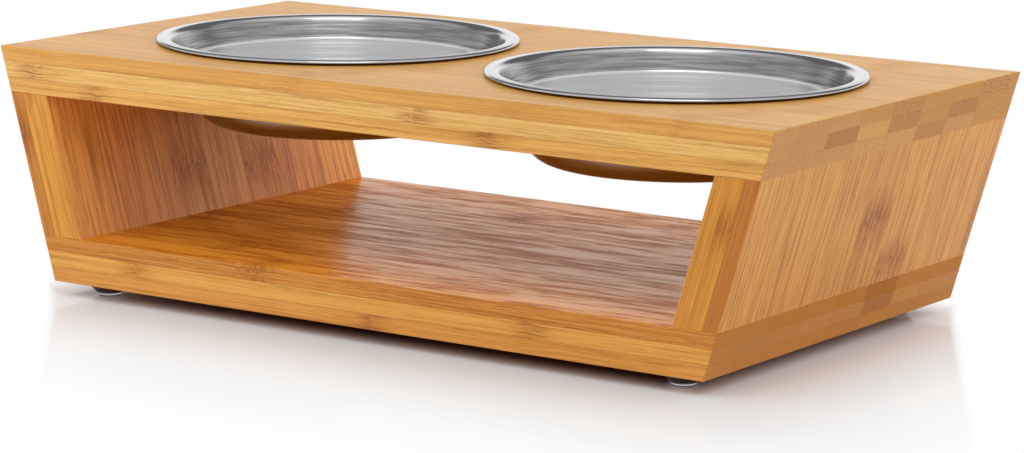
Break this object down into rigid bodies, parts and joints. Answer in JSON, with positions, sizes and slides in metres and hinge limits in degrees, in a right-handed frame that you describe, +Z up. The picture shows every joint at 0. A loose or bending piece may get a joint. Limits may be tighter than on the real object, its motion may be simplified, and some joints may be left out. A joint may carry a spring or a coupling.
{
  "type": "elevated pet feeder with storage shelf",
  "caption": "Low bamboo feeding stand with steel bowls hung in a thick top board over an open-fronted storage shelf, on clear bumper feet.",
  "frame": {"origin": "middle of the stand's footprint, on the surface that its feet stand on", "axes": "+X along the length to the right seen from the front, +Y from front to back, +Z up"},
  "size_m": [0.3934, 0.206, 0.1103],
  "materials": {
    "bamboo_top_upper": "satin lacquered laminated bamboo",
    "bamboo_top_middle": "satin lacquered laminated bamboo",
    "bamboo_top_lower": "satin lacquered laminated bamboo",
    "bamboo_side_outer": "satin lacquered laminated bamboo",
    "bamboo_side_middle": "satin lacquered laminated bamboo",
    "bamboo_side_inner": "satin lacquered laminated bamboo",
    "bamboo_base_upper": "satin lacquered laminated bamboo",
    "bamboo_base_middle": "satin lacquered laminated bamboo",
    "bamboo_base_lower": "satin lacquered laminated bamboo",
    "dowel_wood": "bare turned wood",
    "bowl_steel": "polished rim and spun satin inside",
    "clear_rubber": "clear moulded soft rubber",
    "adhesive": "translucent adhesive film"
  },
  "bodies": {
    "stand": {"top_board_upper_ply": "bamboo_top_upper", "top_board_middle_ply": "bamboo_top_middle", "top_board_lower_ply": "bamboo_top_lower", "left_side_outer_ply": "bamboo_side_outer", "left_side_middle_ply": "bamboo_side_middle", "left_side_inner_ply": "bamboo_side_inner", "right_side_outer_ply": "bamboo_side_outer", "right_side_middle_ply": "bamboo_side_middle", "right_side_inner_ply": "bamboo_side_inner", "base_board_upper_ply": "bamboo_base_upper", "base_board_middle_ply": "bamboo_base_middle", "base_board_lower_ply": "bamboo_base_lower", "left_top_dowels": "dowel_wood", "left_base_dowels": "dowel_wood", "right_top_dowels": "dowel_wood", "right_base_dowels": "dowel_wood", "front_left_foot": "clear_rubber", "front_right_foot": "clear_rubber", "back_left_foot": "clear_rubber", "back_right_foot": "clear_rubber", "foot_adhesive_discs": "adhesive"},
    "left_bowl": {"left_bowl": "bowl_steel"},
    "right_bowl": {"right_bowl": "bowl_steel"}
  },
  "joints": [
    {"name": "left_bowl_lift", "type": "slide", "parent": "stand", "child": "left_bowl", "axis": [0, 0, 1], "range_m": [0, 0.06]},
    {"name": "right_bowl_lift", "type": "slide", "parent": "stand", "child": "right_bowl", "axis": [0, 0, 1], "range_m": [0, 0.06]}
  ]
}
